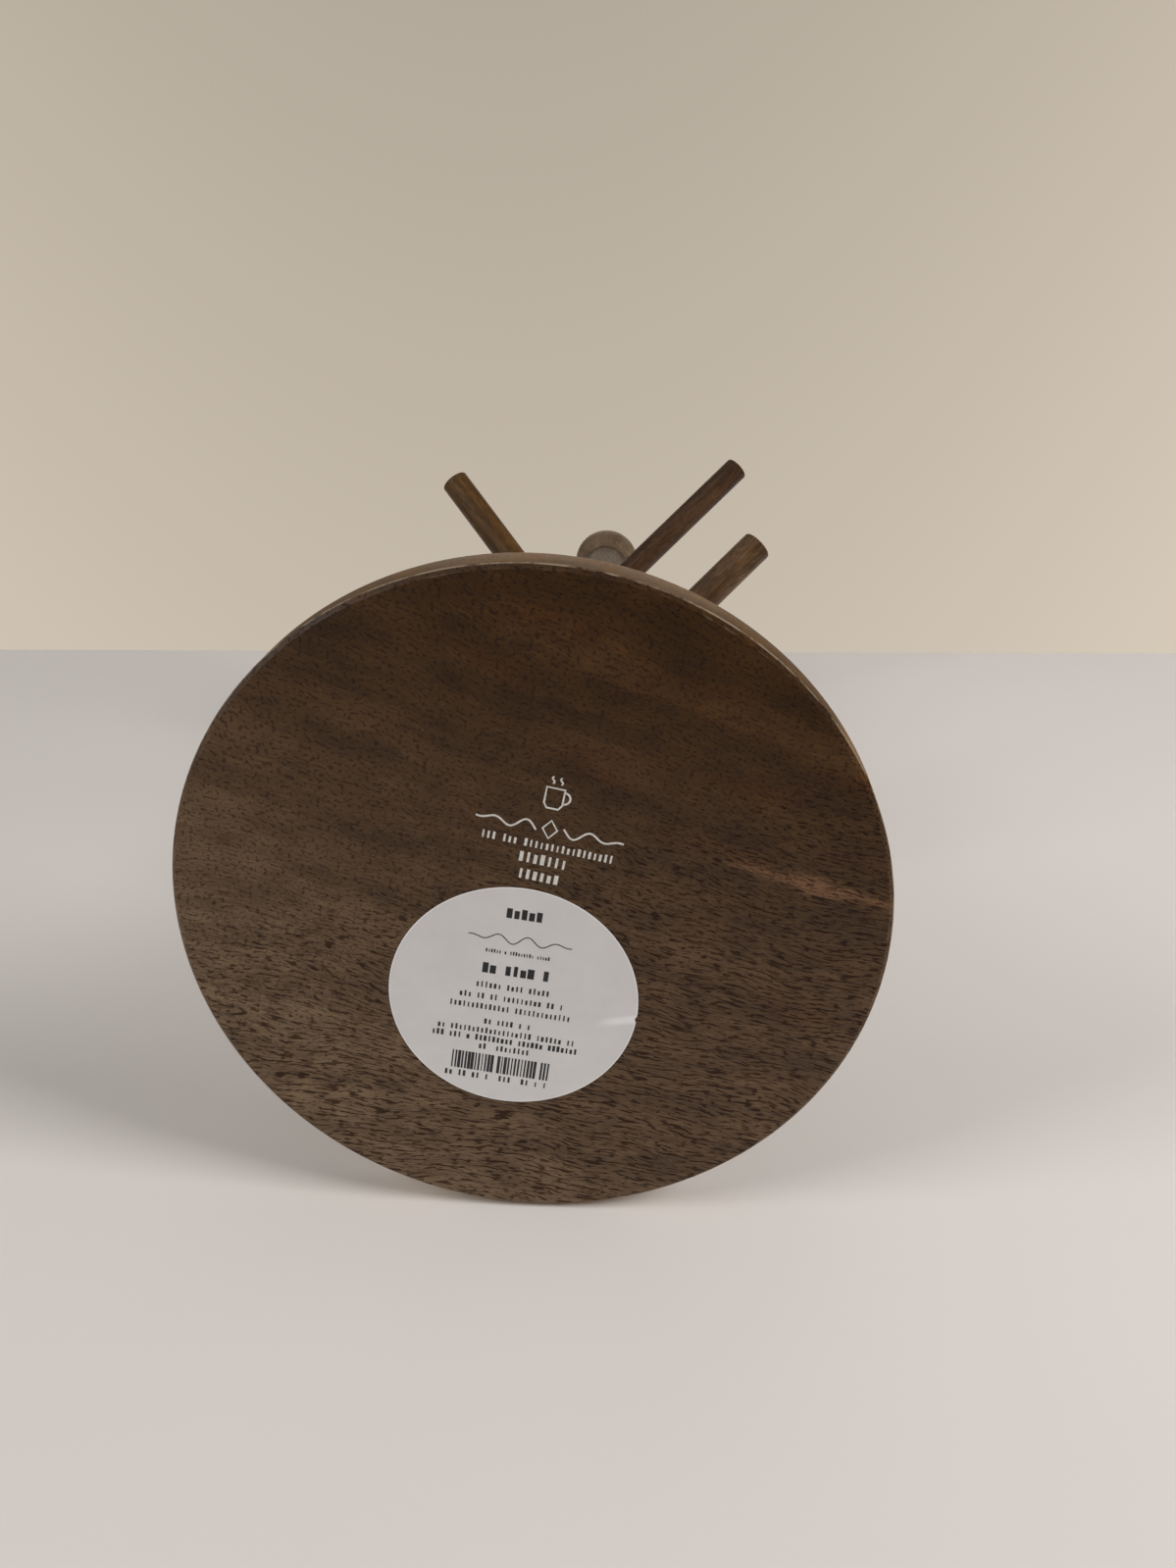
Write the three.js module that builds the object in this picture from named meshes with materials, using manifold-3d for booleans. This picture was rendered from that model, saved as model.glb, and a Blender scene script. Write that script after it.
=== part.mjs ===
// Mug tree: a straight post on a round base, six pegs in three crossing tiers, and a ball knob.
// Millimetres and degrees, +Z up. The origin is the centre of the base's underside.
// The lower and upper tiers lie along X, and the middle tier lies along Y.

import * as THREE from 'three';
import { mergeVertices } from 'three/addons/utils/BufferGeometryUtils.js';
import Module from 'manifold-3d';

const wasm = await Module();
wasm.setup();

// Overall sizes
const overallHeight = 400;
const baseDiameter = 178;
const baseThickness = 12;

// Base edges
const undersideBevel = 1.1;
const topEdgeRadius = 1.5;

// Post and the seat in the base that its foot stands in
const postDiameter = 22;
const postSeatDepth = 4;
const postEndChamfer = 0.8;

// Pegs: the tiers are spread evenly from the first one to the last one
const pegDiameter = 11;
const pegRise = 22.5;
const pegReach = 92; // from the post's axis to the tip, along the peg
const pegEndRadius = 0.8;
const firstTierHeight = 135;
const topTierDrop = 100; // from the knob's top down to the last tier
const socketWeb = 3.3; // the wood left between two opposite sockets

// Ball knob, and the flat that it stands on
const knobDiameter = 32;
const knobFlatDiameter = 19;

// Dowel pin between the post and the knob
const dowelDiameter = 8;
const dowelLength = 30;
const dowelChamfer = 0.8;

// Countersunk wood screw, driven up through the base into the post's end grain
const screwDiameter = 4.8;
const screwLength = 45;
const screwHeadDiameter = 9.6;
const screwHeadSunk = 0.6; // from the label's seat up to the head
const screwPointLength = 6;
const screwPointDiameter = 0.6;
const crossWidth = 1;
const crossSpan = 5;
const crossDepth = 1.6;
const pilotPointDepth = 2;

// Paper care label, let into the underside so that the wood carries the stand
const labelDiameter = 63.5;
const labelThickness = 0.2;
const labelOffset = 23; // from the base's centre to the label's centre
const labelBearing = 142; // from +X towards +Y

// The clearance that every glued or screwed fit keeps
const fitGap = 0.3;

const roundSegments = { base: 96, post: 48, peg: 32, knob: 40, small: 32 };
const edgeSteps = 3;
const knobSteps = 14;

// What follows from the sizes
const postFoot = baseThickness - postSeatDepth;
const knobRadius = knobDiameter / 2;
const knobFlatRadius = knobFlatDiameter / 2;
const knobCentre = overallHeight - knobRadius;
const postTop = knobCentre - Math.sqrt(knobRadius ** 2 - knobFlatRadius ** 2);
const dowelHoleRadius = dowelDiameter / 2 + fitGap;
const dowelHoleDepth = dowelLength / 2 + fitGap;
const screwHeadBottom = labelThickness + screwHeadSunk;
const screwHoleRadius = screwDiameter / 2 + fitGap;
const pegRiseRadians = THREE.MathUtils.degToRad(pegRise);
const socketRadius = pegDiameter / 2 + fitGap;
const socketFloor = (socketWeb / 2 + socketRadius * Math.sin(pegRiseRadians)) / Math.cos(pegRiseRadians);
const pegRoot = socketFloor + fitGap;

const tiers = [
  { name: 'lower', turn: 0, sides: ['right', 'left'] },
  { name: 'middle', turn: -Math.PI / 2, sides: ['front', 'back'] },
  { name: 'upper', turn: 0, sides: ['right', 'left'] },
];
const tierSpacing = (overallHeight - topTierDrop - firstTierHeight) / (tiers.length - 1);

// Points of an arc round (x, y), from one angle to another.
function arc(x, y, radius, from, to, steps) {
  const points = [];
  for (let i = 0; i <= steps; i += 1) {
    const angle = from + ((to - from) * i) / steps;
    points.push([x + radius * Math.cos(angle), y + radius * Math.sin(angle)]);
  }
  return points;
}

// A body turned about Z from a profile of [radius, height] points, listed with the wood on their left.
function turned(profile, segments) {
  const points = profile.map(([radius, height]) => new THREE.Vector2(radius, height));
  return new THREE.LatheGeometry(points, segments).rotateX(Math.PI / 2);
}

// A three.js geometry as a solid that can be cut.
function solidOf(geometry) {
  const bare = geometry.clone();
  bare.deleteAttribute('normal');
  bare.deleteAttribute('uv');
  const merged = mergeVertices(bare);
  const corners = merged.index.array;
  const triangles = [];
  for (let i = 0; i < corners.length; i += 3) {
    const [a, b, c] = [corners[i], corners[i + 1], corners[i + 2]];
    if (a !== b && b !== c && c !== a) triangles.push(a, b, c);
  }
  return new wasm.Manifold(new wasm.Mesh({
    numProp: 3,
    vertProperties: new Float32Array(merged.attributes.position.array),
    triVerts: new Uint32Array(triangles),
  }));
}

// One geometry less several others.
function cut(geometry, cutters) {
  let solid = solidOf(geometry);
  for (const cutter of cutters) solid = solid.subtract(solidOf(cutter));
  const mesh = solid.getMesh();
  const result = new THREE.BufferGeometry();
  result.setAttribute('position', new THREE.BufferAttribute(mesh.vertProperties, 3));
  result.setIndex(new THREE.BufferAttribute(mesh.triVerts, 1));
  result.computeVertexNormals();
  return result;
}

const stainedWood = { color: 0x5b4334, roughness: 0.62, metalness: 0 };
const stainedPegWood = { color: 0x5e4230, roughness: 0.58, metalness: 0 };
const bareWood = { color: 0xc9a877, roughness: 0.8, metalness: 0 };
const paper = { color: 0xd9d7d3, roughness: 0.55, metalness: 0 };
const zincSteel = { color: 0xb9bcc0, roughness: 0.35, metalness: 1 };

function piece(name, geometry, finish) {
  const mesh = new THREE.Mesh(geometry, new THREE.MeshStandardMaterial(finish));
  mesh.name = name;
  return mesh;
}

// The place of the label's centre on the underside.
function labelPlace(z) {
  const bearing = THREE.MathUtils.degToRad(labelBearing);
  return new THREE.Vector3(labelOffset * Math.cos(bearing), labelOffset * Math.sin(bearing), z);
}

// Round base: bevelled underside, eased top edge, a seat for the post and a countersunk screw hole.
function basePlate() {
  const radius = baseDiameter / 2;
  const seatRadius = postDiameter / 2 + fitGap;
  const sinkRadius = screwHeadDiameter / 2 + fitGap + screwHeadBottom;
  const sinkTop = sinkRadius - screwHoleRadius;
  const top = arc(radius - topEdgeRadius, baseThickness - topEdgeRadius, topEdgeRadius, 0, Math.PI / 2, edgeSteps);
  const disc = turned([
    [sinkRadius, 0],
    [radius - undersideBevel, 0],
    [radius, undersideBevel],
    ...top,
    [seatRadius, baseThickness],
    [seatRadius, postFoot],
    [screwHoleRadius, postFoot],
    [screwHoleRadius, sinkTop],
    [sinkRadius, 0],
  ], roundSegments.base);
  const seatHeight = 2 * labelThickness;
  const seat = new THREE.CylinderGeometry(
    labelDiameter / 2 + fitGap,
    labelDiameter / 2 + fitGap,
    seatHeight,
    roundSegments.base,
  );
  seat.rotateX(Math.PI / 2);
  seat.translate(...labelPlace(0));
  return piece('base_plate', cut(disc, [seat]), stainedWood);
}

// Places a peg, or its socket, that is built along +Z from the post's axis.
function pegPlace(tier, side) {
  const place = new THREE.Group();
  place.position.z = firstTierHeight + tierSpacing * tier;
  place.rotation.set(0, Math.PI / 2 - pegRiseRadians, tiers[tier].turn + Math.PI * side, 'ZYX');
  place.updateMatrix();
  return place;
}

// Straight dowel post: pilot hole at the foot, dowel hole at the top, and a blind socket for each peg.
function post() {
  const radius = postDiameter / 2;
  const length = postTop - postFoot;
  const pilotDepth = screwHeadBottom + screwLength + fitGap - postFoot;
  const rod = turned([
    [0, pilotDepth + pilotPointDepth],
    [screwHoleRadius, pilotDepth],
    [screwHoleRadius, 0],
    [radius - postEndChamfer, 0],
    [radius, postEndChamfer],
    [radius, length - postEndChamfer],
    [radius - postEndChamfer, length],
    [dowelHoleRadius, length],
    [dowelHoleRadius, length - dowelHoleDepth],
    [0, length - dowelHoleDepth],
  ], roundSegments.post);
  const sockets = [];
  for (let tier = 0; tier < tiers.length; tier += 1) {
    for (let side = 0; side < 2; side += 1) {
      const socket = turned([
        [0, socketFloor],
        [socketRadius, socketFloor],
        [socketRadius, postDiameter],
        [0, postDiameter],
      ], roundSegments.peg);
      socket.applyMatrix4(pegPlace(tier, side).matrix);
      socket.translate(0, 0, -postFoot);
      sockets.push(socket);
    }
  }
  const result = piece('post', cut(rod, sockets), stainedWood);
  result.position.z = postFoot;
  return result;
}

// One peg: a straight dowel with eased ends, built along +Z from the post's axis.
function peg(name) {
  const radius = pegDiameter / 2;
  const inner = radius - pegEndRadius;
  const root = arc(inner, pegRoot + pegEndRadius, pegEndRadius, -Math.PI / 2, 0, edgeSteps);
  const tip = arc(inner, pegReach - pegEndRadius, pegEndRadius, 0, Math.PI / 2, edgeSteps);
  const dowel = turned([[0, pegRoot], ...root, ...tip, [0, pegReach]], roundSegments.peg);
  return piece(name, dowel, stainedPegWood);
}

function pegs() {
  const group = new THREE.Group();
  tiers.forEach((tier, level) => {
    tier.sides.forEach((sideName, side) => {
      const place = pegPlace(level, side);
      place.add(peg(`peg_${tier.name}_${sideName}`));
      group.add(place);
    });
  });
  return group;
}

// Ball knob with a flat under it, bored for the dowel pin.
function topKnob() {
  const centre = knobCentre - postTop;
  const flatAngle = -Math.acos(knobFlatRadius / knobRadius);
  const ball = turned([
    [0, dowelHoleDepth],
    [dowelHoleRadius, dowelHoleDepth],
    [dowelHoleRadius, 0],
    ...arc(0, centre, knobRadius, flatAngle, Math.PI / 2, knobSteps).slice(0, -1),
    [0, centre + knobRadius],
  ], roundSegments.knob);
  const result = piece('top_knob', ball, stainedWood);
  result.position.z = postTop;
  return result;
}

// Dowel pin, half in the post and half in the knob.
function knobDowel() {
  const radius = dowelDiameter / 2;
  const half = dowelLength / 2;
  const pin = turned([
    [0, -half],
    [radius - dowelChamfer, -half],
    [radius, dowelChamfer - half],
    [radius, half - dowelChamfer],
    [radius - dowelChamfer, half],
    [0, half],
  ], roundSegments.small);
  const result = piece('knob_dowel', pin, bareWood);
  result.position.z = postTop;
  return result;
}

// Countersunk wood screw with a cross recess, head down.
function baseScrew() {
  const radius = screwDiameter / 2;
  const headRadius = screwHeadDiameter / 2;
  const blank = turned([
    [0, 0],
    [headRadius, 0],
    [radius, headRadius - radius],
    [radius, screwLength - screwPointLength],
    [screwPointDiameter / 2, screwLength],
    [0, screwLength],
  ], roundSegments.small);
  const bars = [new THREE.BoxGeometry(crossSpan, crossWidth, 2 * crossDepth)];
  bars.push(bars[0].clone().rotateZ(Math.PI / 2));
  const result = piece('base_screw', cut(blank, bars), zincSteel);
  result.position.z = screwHeadBottom;
  return result;
}

// Round paper label.
function careLabel() {
  const disc = new THREE.CylinderGeometry(labelDiameter / 2, labelDiameter / 2, labelThickness, roundSegments.base);
  disc.rotateX(Math.PI / 2);
  const result = piece('care_label', disc, paper);
  result.position.copy(labelPlace(labelThickness / 2));
  return result;
}

const mugTree = new THREE.Group();
mugTree.name = 'mug_tree';
mugTree.add(basePlate(), post(), pegs(), topKnob(), knobDowel(), baseScrew(), careLabel());

export default mugTree;
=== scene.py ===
import math

import bmesh
import bpy
from mathutils import Matrix, Vector


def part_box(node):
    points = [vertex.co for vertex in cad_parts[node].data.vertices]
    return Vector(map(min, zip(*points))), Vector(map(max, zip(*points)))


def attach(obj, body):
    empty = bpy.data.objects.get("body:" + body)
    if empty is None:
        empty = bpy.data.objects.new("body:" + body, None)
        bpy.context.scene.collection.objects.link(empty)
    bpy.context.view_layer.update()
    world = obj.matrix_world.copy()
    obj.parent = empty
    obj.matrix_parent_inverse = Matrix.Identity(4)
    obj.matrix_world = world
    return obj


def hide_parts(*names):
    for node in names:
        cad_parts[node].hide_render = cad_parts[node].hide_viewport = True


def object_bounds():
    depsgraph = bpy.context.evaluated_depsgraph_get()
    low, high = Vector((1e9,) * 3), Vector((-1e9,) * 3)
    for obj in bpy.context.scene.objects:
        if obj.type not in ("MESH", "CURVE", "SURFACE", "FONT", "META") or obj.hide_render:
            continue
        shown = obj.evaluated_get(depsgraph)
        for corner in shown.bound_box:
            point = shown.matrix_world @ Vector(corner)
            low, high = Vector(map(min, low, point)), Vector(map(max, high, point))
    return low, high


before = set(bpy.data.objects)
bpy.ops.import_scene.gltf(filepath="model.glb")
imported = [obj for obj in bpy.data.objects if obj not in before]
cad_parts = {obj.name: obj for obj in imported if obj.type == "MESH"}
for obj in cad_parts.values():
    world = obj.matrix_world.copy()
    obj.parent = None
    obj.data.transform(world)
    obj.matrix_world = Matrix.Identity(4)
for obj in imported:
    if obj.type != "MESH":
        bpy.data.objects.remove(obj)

cad_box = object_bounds()
MM = 0.001


# ---------------------------------------------------------------------------------------------------
# Base plate
# One flat-sawn board, turned to a disc on a faceplate, stained dark brown and wiped with oil. Its
# underside edge is bevelled and its top edge eased, and handling has rubbed the stain off the bevel.
# ---------------------------------------------------------------------------------------------------
class Value:
    """A node socket that takes part in Python sums: mask * 0.3 + tone adds the Math nodes it needs."""

    def __init__(self, tree, socket=None):
        self.tree = tree
        self.socket = socket

    def node(self, kind, settings=None, values=None, output=0):
        """Adds any other node: its type, then its settings, then what its sockets hold or link to."""
        made = self.tree.nodes.new(kind)
        for name, setting in (settings or {}).items():
            if name == "stops":
                while len(made.color_ramp.elements) < len(setting):
                    made.color_ramp.elements.new(1.0)
                for element, (place, colour) in zip(made.color_ramp.elements, setting):
                    element.position = place
                    element.color = colour
            else:
                setattr(made, name, setting)
        for key, value in (values or {}).items():
            socket = next(s for s in made.inputs if s.enabled and key in (s.name, s.identifier))
            if isinstance(value, Value):
                self.tree.links.new(value.socket, socket)
            else:
                socket.default_value = value
        return Value(self.tree, made.outputs[output])

    def math(self, operation, *terms):
        return self.node("ShaderNodeMath", {"operation": operation},
                         dict(zip(("Value", "Value_001", "Value_002"), terms)))

    def __add__(self, other):
        return self.math("ADD", self, other)

    def __sub__(self, other):
        return self.math("SUBTRACT", self, other)

    def __rsub__(self, other):
        return self.math("SUBTRACT", other, self)

    def __mul__(self, other):
        return self.math("MULTIPLY", self, other)

    def __truediv__(self, other):
        return self.math("DIVIDE", self, other)

    def __abs__(self):
        return self.math("ABSOLUTE", self)

    __radd__ = __add__
    __rmul__ = __mul__


def parts_of(vector):
    """The X, Y and Z of a vector."""
    return [vector.node("ShaderNodeSeparateXYZ", {}, {"Vector": vector}, i) for i in range(3)]


def vector_of(x, y, z):
    """A vector from three values, the first of which is a socket."""
    return x.node("ShaderNodeCombineXYZ", {}, {"X": x, "Y": y, "Z": z})


def ease(value, low, high):
    """0 up to low, 1 from high, and a smooth step between."""
    return value.node("ShaderNodeMapRange", {"interpolation_type": "SMOOTHSTEP"},
                      {"Value": value, "From Min": low, "From Max": high})


def blend(amount, first, second):
    """One colour turned into another by an amount from 0 to 1."""
    return amount.node("ShaderNodeMix", {"data_type": "RGBA"},
                       {"Factor": amount, "A": first, "B": second}, 2)


def shade(colour, strength):
    """A colour made lighter or darker by a value round 1."""
    return strength.node("ShaderNodeVectorMath", {"operation": "SCALE"},
                         {"Vector": colour, "Scale": strength})


def tinted(colour, amount, tint):
    """A colour multiplied by a tint of three parts, by an amount from 0 to 1."""
    return colour.node("ShaderNodeMix", {"data_type": "RGBA", "blend_type": "MULTIPLY"},
                       {"Factor": 1.0, "A": colour, "B": blend(amount, (1, 1, 1, 1), (*tint, 1))}, 2)


def stretched(space, x, y, z, shift=0.0):
    """A place measured in steps of x, y and z millimetres, moved on so that two patterns differ."""
    steps = space.node("ShaderNodeVectorMath", {"operation": "DIVIDE"},
                       {"Vector": space, "Vector_001": (x, y, z)})
    return steps.node("ShaderNodeVectorMath", {"operation": "ADD"},
                      {"Vector": steps, "Vector_001": (shift, shift, shift)})


def cloud(place, detail=2.0, roughness=0.5):
    """Soft noise, about 0 to 1 round 0.5, with one lump to a step."""
    return place.node("ShaderNodeTexNoise", {},
                      {"Vector": place, "Scale": 1.0, "Detail": detail, "Roughness": roughness})


def linear(hex_colour):
    """A shader colour from a paint colour such as 5b4334."""
    parts = [int(hex_colour[i:i + 2], 16) / 255 for i in (0, 2, 4)]
    return tuple(p / 12.92 if p <= 0.04045 else ((p + 0.055) / 1.055) ** 2.4 for p in parts) + (1.0,)


def grain_space(nodes, centre, along, across):
    """Object coordinates in millimetres from a centre, X along the grain and Y across it."""
    facing = along.cross(across)
    turn = Matrix((along, facing.cross(along), facing)).transposed().to_euler()
    place = nodes.node("ShaderNodeTexCoord", {}, {}, "Object")
    return place.node("ShaderNodeMapping", {"vector_type": "TEXTURE"},
                      {"Vector": place, "Location": centre, "Rotation": turn, "Scale": (MM, MM, MM)})


def pore_marks(space, length, width, shift, low=0.36, high=0.43):
    """Open pores: dark dashes where noise that is drawn out along the grain dips, in millimetres."""
    return 1.0 - ease(cloud(stretched(space, length, width, width, shift), 1.0), low, high)


def new_finish(name):
    """An empty material: its shader node and a value to start node sums from."""
    material = bpy.data.materials.new(name)
    material.use_nodes = True
    material.node_tree.nodes.clear()
    out = material.node_tree.nodes.new("ShaderNodeOutputMaterial")
    shader = material.node_tree.nodes.new("ShaderNodeBsdfPrincipled")
    material.node_tree.links.new(shader.outputs[0], out.inputs["Surface"])
    return material, shader, Value(material.node_tree)


def feed(shader, name, value):
    """Links a value to a socket of the shader."""
    value.tree.links.new(value.socket, shader.inputs[name])


def stained_wood(name, centre, along, across, dark, light, seed, openness=0.6, band=9.0, bend=None,
                 zone=None, touches=None, wear=None):
    """Stained, oiled hardwood: growth bands, fibre, open pores, and a rubbed satin surface."""
    material, shader, nodes = new_finish(name)
    space = grain_space(nodes, centre, along, across)
    x, y, z = parts_of(space)
    sway = (cloud(stretched(space, 62, 46, 46, seed)) - 0.5) * 14.0
    ripple = (cloud(stretched(space, 8, 4, 4, seed + 3), 1.0) - 0.5) * 2.2
    bent = y + sway if bend is None else y + sway + bend(x, y)
    flow = vector_of(x, bent + ripple * 0.6, z)
    wavy = vector_of(x, bent + ripple * 0.85, z)

    bands = cloud(stretched(flow, 110, band, band, seed + 5), 5.0, 0.62)
    fibre = cloud(stretched(flow, 6, 0.35, 0.35, seed + 7), 2.0, 0.6)
    mottle = cloud(stretched(space, 16, 10, 10, seed + 9), 4.0, 0.6)
    if zone is None:
        long_zone = ease(cloud(stretched(space, 60, 30, 30, seed + 15), 1.0), 0.3, 0.5)
    else:
        long_zone = zone(x, y)
    dots = pore_marks(flow, 1.1, 0.72, seed, 0.36, 0.46)
    dashes = pore_marks(flow, 2.9, 0.66, seed + 11, 0.37, 0.44)
    cracks = pore_marks(wavy, 6.5, 0.68, seed + 13, 0.38, 0.43)
    pores = dots * (1.0 - long_zone * 0.8) * 0.7 + dashes * ease(long_zone, 0.02, 0.35) * 0.9
    pores = pores + cracks * long_zone
    pores = pores.math("MINIMUM", pores, 1.0) * (openness(z) if callable(openness) else openness)

    tone = ease(bands, 0.3, 0.72) * 0.5 + ease(mottle, 0.3, 0.7) * 0.45 + (fibre - 0.5) * 1.9
    colour = blend(tone, linear(dark), linear(light))
    if touches is not None:
        colour = touches(nodes, flow, colour)
    colour = tinted(colour, pores, (0.24, 0.18, 0.13))
    gloss = 0.57 + (mottle - 0.5) * 0.2 + pores * 0.25
    if wear is not None:
        worn = wear(nodes)
        colour = blend(worn, colour, linear("96866f"))
        gloss = gloss + worn * 0.1
    feed(shader, "Base Color", colour)
    feed(shader, "Roughness", gloss)
    height = fibre * 0.15 - pores
    bump = height.node("ShaderNodeBump", {}, {"Strength": 0.4, "Distance": 0.1 * MM, "Height": height})
    feed(shader, "Normal", bump)
    shader.inputs["IOR"].default_value = 1.46
    shader.inputs["Specular IOR Level"].default_value = 0.38
    return material


def turned(name, profile, turns):
    """A closed body turned about Z, from [radius, height] points that start and end on the axis or close."""
    rings = []
    mesh = bmesh.new()
    for radius, height in profile:
        if radius == 0:
            rings.append([mesh.verts.new((0, 0, height))] * turns)
            continue
        ring = []
        for i in range(turns):
            angle = 2 * math.pi * i / turns
            ring.append(mesh.verts.new((radius * math.cos(angle), radius * math.sin(angle), height)))
        rings.append(ring)
    on_axis = profile[0][0] == 0
    pairs = list(zip(rings, rings[1:])) if on_axis else list(zip(rings, rings[1:] + rings[:1]))
    for low, high in pairs:
        for i in range(turns):
            corners = [low[i], low[(i + 1) % turns], high[(i + 1) % turns], high[i]]
            mesh.faces.new(list(dict.fromkeys(corners)))
    bmesh.ops.recalc_face_normals(mesh, faces=mesh.faces)
    data = bpy.data.meshes.new(name)
    mesh.to_mesh(data)
    mesh.free()
    return data


def rounded(x, y, radius, start, end, steps):
    """Points of an arc round (x, y), from one angle to another in degrees."""
    points = []
    for i in range(steps + 1):
        angle = math.radians(start + (end - start) * i / steps)
        points.append((x + radius * math.cos(angle), y + radius * math.sin(angle)))
    return points


def finished(name, mesh, material, slot, *nodes):
    """Hangs a finished mesh on the tree, in the place of its CAD nodes."""
    mesh.name = name
    mesh.materials.clear()
    mesh.materials.append(material)
    mesh.shade_smooth()
    mesh.set_sharp_from_angle(angle=math.radians(32))
    piece = bpy.data.objects.new(name + "_finish", mesh)
    bpy.context.scene.collection.objects.link(piece)
    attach(piece, "root")
    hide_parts(*nodes)
    return piece


def bearing(degrees):
    """A level direction, measured from +X towards +Y."""
    return Vector((math.cos(math.radians(degrees)), math.sin(math.radians(degrees)), 0))


base_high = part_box("base_plate")[1]
post_low, post_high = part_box("post")
base_radius = base_high.x
base_top = base_high.z
post_radius = post_high.x
bevel = 1.1 * MM
arris = 0.22 * MM
top_ease = 1.5 * MM
fit_line = 0.06 * MM
screw_hole_radius = 2.7 * MM
sink_radius = 5.9 * MM
grain_bearing = 52.0
printing_bearing = 49.7


def arris_wear(nodes):
    """Where hands and shelves have rubbed the rim: the two edges of the bevel, in patches."""
    place = nodes.node("ShaderNodeTexCoord", {}, {}, "Object")
    x, y, z = parts_of(place)
    out = (x * x + y * y).math("SQRT", x * x + y * y)
    edge = abs(out - base_radius) + abs(z - bevel)
    inner = abs(out - (base_radius - bevel)) + abs(z)
    patches = cloud(stretched(place, 9 * MM, 9 * MM, 9 * MM), 4.0, 0.7)
    near_outer = 1.0 - ease(edge, 0.10 * MM, 0.60 * MM)
    near_inner = 1.0 - ease(inner, 0.05 * MM, 0.40 * MM)
    return near_outer * ease(patches, 0.36, 0.58) * 0.95 + near_inner * ease(patches, 0.52, 0.66) * 0.3


def base_touches(nodes, flow, colour):
    """Darker to one side, redder in patches, a sapwood streak; painted sheen, a painted highlight band, and
    a rim and top painted paler as if lit.
    """
    x, y, z = parts_of(flow)
    colour = tinted(colour, 1.0 - ease(y, -85.0, 38.0), (0.44, 0.33, 0.14))
    # Paler and greyer towards one side: a painted sheen, like a pale reflection in the satin finish.
    pale = ease(y * 0.8 - x * 0.6, 10.0, 80.0)
    colour = tinted(colour, pale, (1.45, 1.6, 1.75))
    # A pale ragged band across the darker side: a painted highlight.
    ragged = (cloud(stretched(flow, 20, 3, 3, 2.0), 3.0) - 0.5) * 9.0
    painted_highlight_band = (1.0 - ease(abs(y + 71.0) + ragged, 1.0, 7.0)) * ease(x, -34.0, -14.0)
    colour = tinted(colour, painted_highlight_band, (1.5, 1.55, 1.7))
    red = ease(cloud(stretched(flow, 40, 10, 10, 21.0), 3.0), 0.5, 0.72) * ease(x * 0.5 - y, -10.0, 60.0)
    colour = tinted(colour, red * 0.5, (1.2, 0.85, 0.7))
    streak = grain_space(nodes, streak_place, bearing(grain_bearing + 5), bearing(grain_bearing + 95))
    x, y, z = parts_of(streak)
    rough = (cloud(stretched(flow, 9, 1.6, 1.6, 4.0), 3.0, 0.65) - 0.5) * 1.5
    inside = 1.0 - ease(abs(y) / 3.6 + abs(x) / 27.0 + rough, 0.3, 1.1)
    colour = blend(inside * 0.72, colour, linear("8a6548"))
    # The rim and top are painted paler: painted light, where the lamps fall on the turned edge.
    painted_rim_light = ease(parts_of(flow)[2], 0.9, 1.8)
    return tinted(colour, painted_rim_light, (2.2, 2.3, 1.95))


def base_openness(z):
    """The pores are open on the face; on the turned rim most are left out, as painted sheen that hides them.
    """
    return 1.0 - ease(z, 0.9, 1.8) * 0.7


def base_bend(x, y):
    """The grain arches over at the plate's far side and runs straight at its near one."""
    return x * (y * 0.002 - 0.1)


def base_zone(x, y):
    """The pores lie lengthwise on one side of the board and run out of its face on the other."""
    return ease(y * 0.8 + x * 0.4, -40.0, 50.0)


streak_place = bearing(grain_bearing) * 66 * MM - bearing(grain_bearing + 90) * 24 * MM
base_profile = [(sink_radius, 0)]
base_profile += [(radius, 0) for radius in (0.3 * base_radius, 0.6 * base_radius, 0.85 * base_radius)]
base_profile += rounded(base_radius - bevel - arris, arris, arris, -90, -45, 3)
base_profile += rounded(base_radius - arris, bevel + arris, arris, -45, 0, 3)
base_profile += [(base_radius, base_top / 2)]
base_profile += rounded(base_radius - top_ease, base_top - top_ease, top_ease, 0, 90, 6)
base_profile += [(0.6 * base_radius, base_top), (post_radius + fit_line, base_top)]
base_profile += [(post_radius + fit_line, post_low.z), (screw_hole_radius, post_low.z)]
base_profile += [(screw_hole_radius, sink_radius - screw_hole_radius)]
base_wood = stained_wood(
    "base_wood", (0, 0, 0), bearing(grain_bearing), bearing(grain_bearing + 90),
    "4a3624", "725940", 0.0, base_openness, 9.0, base_bend, base_zone, base_touches, arris_wear)
finished("base_plate", turned("base_plate", base_profile, 384), base_wood, "base_wood", "base_plate")


# ---------------------------------------------------------------------------------------------------
# Pegs
# Six straight dowels with eased ends, three pairs up the post, glued into angled blind sockets. They
# were cut from several sticks, so no two have quite the same colour.
# ---------------------------------------------------------------------------------------------------
def new_tree(name, sizes):
    """A geometry tree with one float input for each size, plus a material."""
    tree = bpy.data.node_groups.new(name, "GeometryNodeTree")
    tree.interface.new_socket("Geometry", in_out="OUTPUT", socket_type="NodeSocketGeometry")
    for size in sizes:
        tree.interface.new_socket(size, in_out="INPUT", socket_type="NodeSocketFloat")
    tree.interface.new_socket("Material", in_out="INPUT", socket_type="NodeSocketMaterial")
    inputs = tree.nodes.new("NodeGroupInput")
    return tree, {s.name: Value(tree, s) for s in inputs.outputs if s.name}


def end_tree(tree, geometry, inputs):
    """Closes a geometry tree: real geometry, with its material."""
    real = geometry.node("GeometryNodeRealizeInstances", {}, {"Geometry": geometry})
    done = real.node("GeometryNodeSetMaterial", {}, {"Geometry": real, "Material": inputs["Material"]})
    out = tree.nodes.new("NodeGroupOutput")
    tree.links.new(done.socket, out.inputs[0])


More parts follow.
